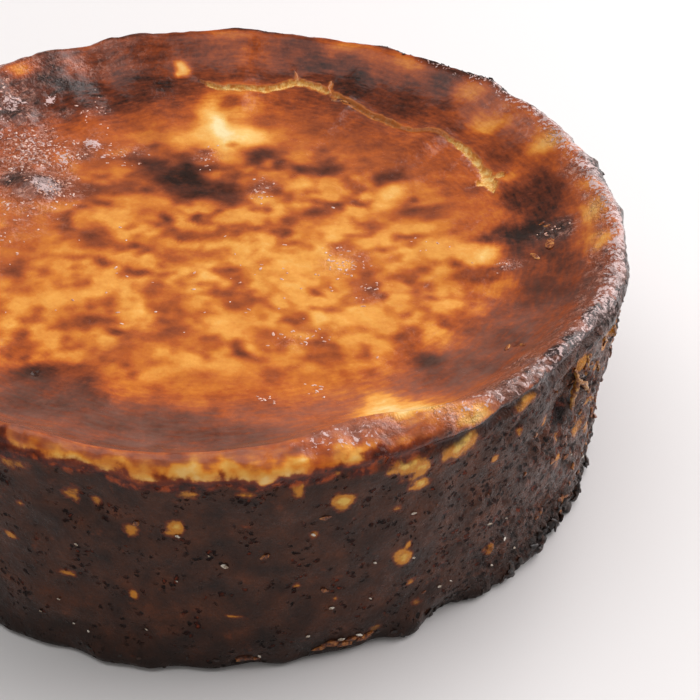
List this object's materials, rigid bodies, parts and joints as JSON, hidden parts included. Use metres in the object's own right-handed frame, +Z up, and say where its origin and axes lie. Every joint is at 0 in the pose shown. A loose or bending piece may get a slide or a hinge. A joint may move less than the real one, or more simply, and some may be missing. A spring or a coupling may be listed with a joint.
{
  "type": "basque cheesecake",
  "caption": "Whole uncut Basque cheesecake: a burnt, sunken and cracked caramel top with a raised rim over a dark pitted wall.",
  "frame": {"origin": "middle of the flat base", "axes": "+Z up; -Y is the front that the picture shows, and the crack lies at the back, towards +X"},
  "size_m": [0.18, 0.1809, 0.0561],
  "materials": {
    "baked_custard": "half glossy caramelised skin on top, dark and pitted on the wall"
  },
  "bodies": {
    "root": {"basque_cheesecake": "baked_custard"}
  },
  "joints": []
}
